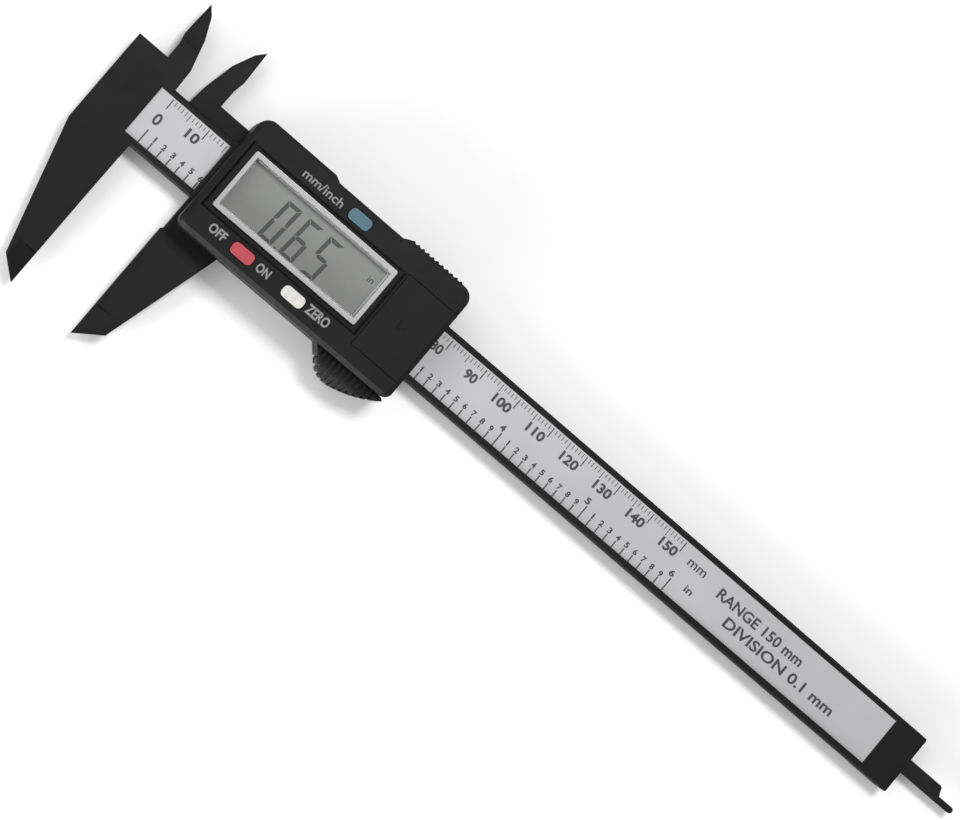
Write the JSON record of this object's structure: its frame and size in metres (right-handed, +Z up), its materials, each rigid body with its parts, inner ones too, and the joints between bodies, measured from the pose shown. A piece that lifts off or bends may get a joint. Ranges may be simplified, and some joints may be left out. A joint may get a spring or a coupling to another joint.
{
  "type": "digital caliper",
  "caption": "Digital caliper with moulded outside and inside jaws, a display case that slides along a long scale beam, buttons, thumb grip and depth rod.",
  "frame": {"origin": "bottom centre of the whole object's box, with the jaws 16.51 mm open", "axes": "+X along the beam from the jaws to its free end, +Y towards the inside jaws, +Z up out of the display"},
  "size_m": [0.2546, 0.0734, 0.0145],
  "materials": {
    "beam_composite": "fine moulded grain, satin",
    "frame_composite": "fine moulded grain, satin",
    "case_composite": "fine spark texture, satin",
    "rod_composite": "smooth satin",
    "label_silver": "printed satin silver film",
    "bezel_silver": "satin silver paint on moulded plastic",
    "screw_steel": "plated",
    "spring_steel": "bright rolled",
    "circuit_green": "solder mask",
    "chip_epoxy": "glossy epoxy drop",
    "component_ceramic": "fired ceramic",
    "holder_white": "satin",
    "contact_rubber": "striped silicone",
    "reflector_film": "metallised film",
    "display_glass": "grey liquid-crystal cell",
    "polarizer_film": "anti-glare film",
    "window_clear": "clear moulded",
    "button_red": "satin",
    "button_white": "satin",
    "button_blue": "satin",
    "cell_steel": "nickel plated",
    "contact_brass": "bright"
  },
  "bodies": {
    "beam": {"beam": "beam_composite", "stator_strip": "circuit_green", "scale_label": "label_silver", "end_stop": "case_composite", "end_stop_screws": "screw_steel"},
    "slider": {"slider_frame": "frame_composite", "back_plate": "case_composite", "case_screws": "screw_steel", "gib_spring": "spring_steel", "depth_rod": "rod_composite", "depth_rod_screw": "screw_steel", "circuit_board": "circuit_green", "controller_chip": "chip_epoxy", "board_components": "component_ceramic", "board_screws": "screw_steel", "lcd_holder": "holder_white", "contact_strip": "contact_rubber", "lcd_reflector": "reflector_film", "lcd_cell": "display_glass", "lcd_polarizer": "polarizer_film", "front_cover": "case_composite", "display_bezel": "bezel_silver", "display_window": "window_clear", "power_dome": "spring_steel", "zero_dome": "spring_steel", "unit_dome": "spring_steel", "button_cell": "cell_steel", "battery_contact_positive": "contact_brass", "battery_contact_negative": "contact_brass"},
    "battery_cover": {"battery_cover": "case_composite"},
    "power_button": {"power_button": "button_red"},
    "zero_button": {"zero_button": "button_white"},
    "unit_button": {"unit_button": "button_blue"}
  },
  "joints": [
    {"name": "slider_slide", "type": "slide", "parent": "beam", "child": "slider", "axis": [1, 0, 0], "range_m": [-0.0165, 0.137]},
    {"name": "battery_cover_slide", "type": "slide", "parent": "slider", "child": "battery_cover", "axis": [1, 0, 0], "range_m": [0, 0.0145]},
    {"name": "power_press", "type": "slide", "parent": "slider", "child": "power_button", "axis": [0, 0, -1], "range_m": [0, 0.0003], "stiffness_N_per_m": 3000, "deforming": ["power_dome"]},
    {"name": "zero_press", "type": "slide", "parent": "slider", "child": "zero_button", "axis": [0, 0, -1], "range_m": [0, 0.0003], "stiffness_N_per_m": 3000, "deforming": ["zero_dome"]},
    {"name": "unit_press", "type": "slide", "parent": "slider", "child": "unit_button", "axis": [0, 0, -1], "range_m": [0, 0.0003], "stiffness_N_per_m": 3000, "deforming": ["unit_dome"]}
  ]
}
